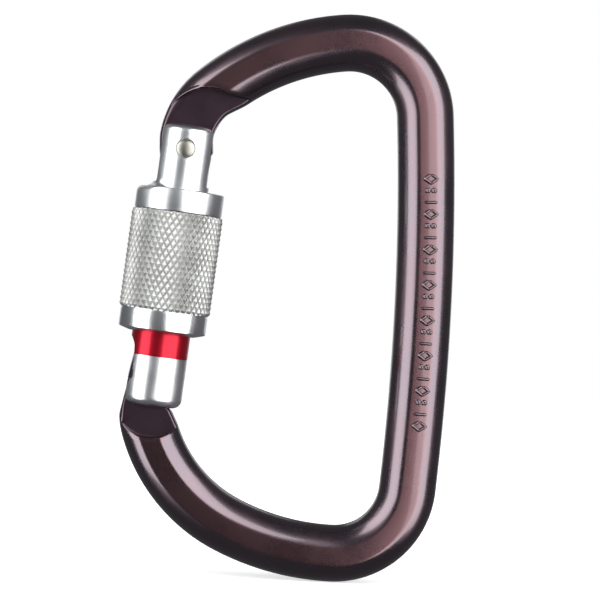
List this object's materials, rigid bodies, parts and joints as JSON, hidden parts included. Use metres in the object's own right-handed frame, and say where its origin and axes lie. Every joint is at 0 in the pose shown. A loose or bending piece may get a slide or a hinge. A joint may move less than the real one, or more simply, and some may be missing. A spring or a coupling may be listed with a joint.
{
  "type": "locking carabiner",
  "caption": "Offset-D screw-lock carabiner with a bronze round-bar frame, a sprung hinged gate with a keyhole nose, and a knurled sleeve that screws down over the nose.",
  "frame": {"origin": "middle of the whole carabiner's box, gate shut and sleeve unlocked", "axes": "+Z along the spine towards the hinge end, +X from the gate towards the spine, Y through the bar's thickness"},
  "size_m": [0.0654, 0.018, 0.1117],
  "materials": {
    "bronze_alloy": "dark bronze anodised, glossy",
    "silver_alloy": "polished",
    "sleeve_alloy": "diamond knurl, satin",
    "rivet_steel": "peened",
    "spring_steel": "bright",
    "red_lacquer": "glossy translucent red"
  },
  "bodies": {
    "frame": {"frame": "bronze_alloy"},
    "gate": {"gate_body": "silver_alloy", "hinge_rivet": "rivet_steel", "lock_warning_band": "red_lacquer", "gate_spring": "spring_steel"},
    "plunger": {"gate_plunger": "spring_steel"},
    "snap_ring": {"sleeve_snap_ring": "spring_steel"},
    "sleeve": {"locking_sleeve": "sleeve_alloy"}
  },
  "joints": [
    {"name": "gate_hinge", "type": "hinge", "parent": "frame", "child": "gate", "pos_m": [-0.02093, 0, 0.02772], "axis": [0, -1, 0], "range_deg": [0, 36], "stiffness_Nm_per_rad": 0.3, "springref_deg": -40.11},
    {"name": "plunger_slide", "type": "slide", "parent": "gate", "child": "plunger", "axis": [-0.0871, 0, -0.9962], "range_m": [0, 0.0015], "deforming": ["gate_spring"]},
    {"name": "sleeve_slide", "type": "slide", "parent": "gate", "child": "snap_ring", "axis": [-0.0871, 0, -0.9962], "range_m": [0, 0.0088]},
    {"name": "sleeve_spin", "type": "hinge", "parent": "snap_ring", "child": "sleeve", "pos_m": [-0.02093, 0, 0.02772], "axis": [-0.0871, 0, -0.9962], "range_deg": [0, 1268]}
  ],
  "couplings": [
    {"joint": "plunger_slide", "follows": "gate_hinge", "m_per_rad": 0.0023873},
    {"joint": "sleeve_spin", "follows": "sleeve_slide", "rad_per_m": 2513.3}
  ]
}
